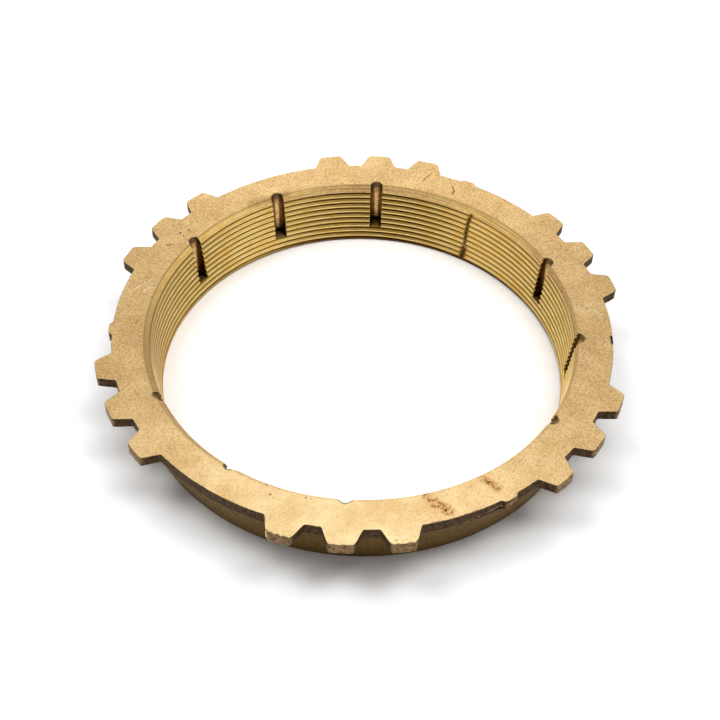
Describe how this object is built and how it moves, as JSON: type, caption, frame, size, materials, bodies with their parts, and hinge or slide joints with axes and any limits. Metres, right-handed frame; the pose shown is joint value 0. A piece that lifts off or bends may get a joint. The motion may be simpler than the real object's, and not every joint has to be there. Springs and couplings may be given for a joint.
{
  "type": "synchronizer ring",
  "caption": "Brass blocker ring with a flange of teeth in spaced groups and a threaded, slotted friction cone that brakes a gear before its sleeve engages.",
  "frame": {"origin": "centre of the ring's small end, which it rests on", "axes": "+Z along the ring's axis, from the small end to the toothed face; +Y through the middle tooth of one group"},
  "size_m": [0.0746, 0.0774, 0.0106],
  "materials": {
    "brass": "faced and blasted, satin"
  },
  "bodies": {
    "root": {"synchro_ring": "brass"}
  },
  "joints": []
}
